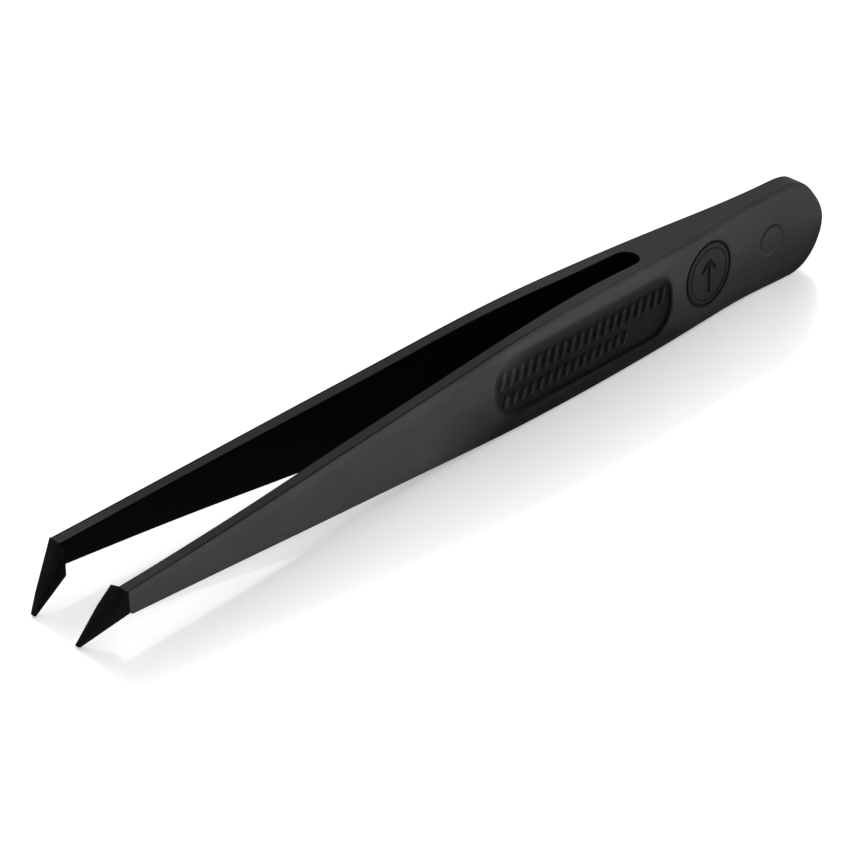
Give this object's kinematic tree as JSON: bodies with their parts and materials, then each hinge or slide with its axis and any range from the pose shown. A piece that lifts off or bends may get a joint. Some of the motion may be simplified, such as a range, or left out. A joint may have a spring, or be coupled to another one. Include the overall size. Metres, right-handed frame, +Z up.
{
  "type": "precision tweezers",
  "caption": "Lightweight plastic precision tweezers with sprung arms and short tips angled downwards, for picking up and placing small parts.",
  "frame": {"origin": "centre of the bounding box in X and Y, on the surface that the tweezers stand on (Z = 0)", "axes": "+X from the tips towards the rear end, +Y from the left arm towards the right arm, +Z up out of the surface; both tip points and the rear heel touch Z = 0"},
  "size_m": [0.115, 0.014, 0.0125],
  "materials": {
    "body_plastic": "charcoal grey fibre-filled plastic as it leaves a fine-textured mould",
    "tip_plastic": "darker, smoother black fibre-filled plastic with a faint sheen"
  },
  "bodies": {
    "grip": {"rear_block": "body_plastic", "left_flexure": "body_plastic", "right_flexure": "body_plastic"},
    "left_jaw": {"left_arm": "body_plastic", "left_tip": "tip_plastic"},
    "right_jaw": {"right_arm": "body_plastic", "right_tip": "tip_plastic"}
  },
  "joints": [
    {"name": "left_arm_squeeze", "type": "hinge", "parent": "grip", "child": "left_jaw", "pos_m": [0.0205, -0.0026, 0.006], "axis": [0, 0, -1], "range_deg": [0, 2.56], "stiffness_Nm_per_rad": 0.9, "deforming": ["left_flexure"]},
    {"name": "right_arm_squeeze", "type": "hinge", "parent": "grip", "child": "right_jaw", "pos_m": [0.0205, 0.0026, 0.006], "axis": [0, 0, 1], "range_deg": [0, 2.56], "stiffness_Nm_per_rad": 0.9, "deforming": ["right_flexure"]}
  ]
}
